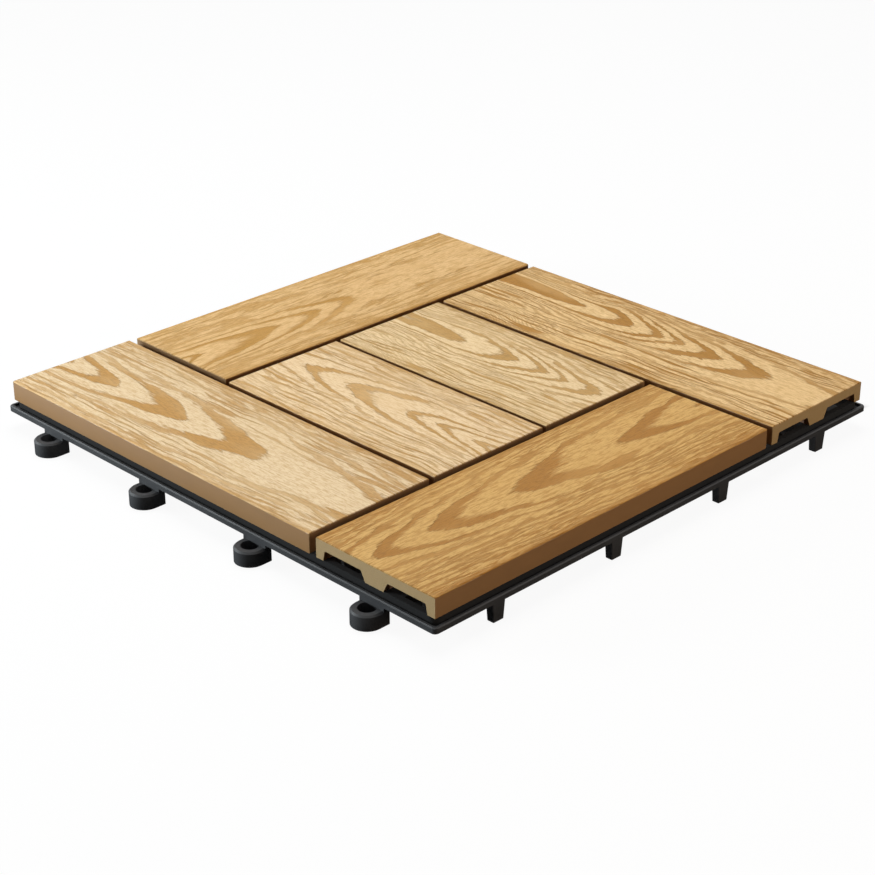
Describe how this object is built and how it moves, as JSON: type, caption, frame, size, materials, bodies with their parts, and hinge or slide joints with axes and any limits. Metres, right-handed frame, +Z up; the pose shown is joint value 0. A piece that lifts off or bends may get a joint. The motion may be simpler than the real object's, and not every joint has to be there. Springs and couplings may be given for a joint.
{
  "type": "interlocking deck tile",
  "caption": "Square floor tile of wood-grain composite boards in a pinwheel on a black plastic grid base with edge eyelets and pegs that lock to the next tile.",
  "frame": {"origin": "middle of the tile on the ground, at the foot below the middle of the base", "axes": "+Z up through the boards; X and Y along the tile's sides; eyelets on the -X and -Y sides, pegs on the +X and +Y sides"},
  "size_m": [0.3099, 0.3099, 0.025],
  "materials": {
    "base_plastic": "moulded black plastic, satin",
    "board_pale": "wood-plastic composite, embossed with a pale grain",
    "board_golden": "wood-plastic composite, embossed with a golden grain",
    "screw_steel": "zinc-plated steel"
  },
  "bodies": {
    "root": {"base_grid": "base_plastic", "board_front": "board_pale", "board_right": "board_golden", "board_back": "board_pale", "board_left": "board_golden", "centre_board_front": "board_pale", "centre_board_back": "board_pale", "screws": "screw_steel"}
  },
  "joints": []
}
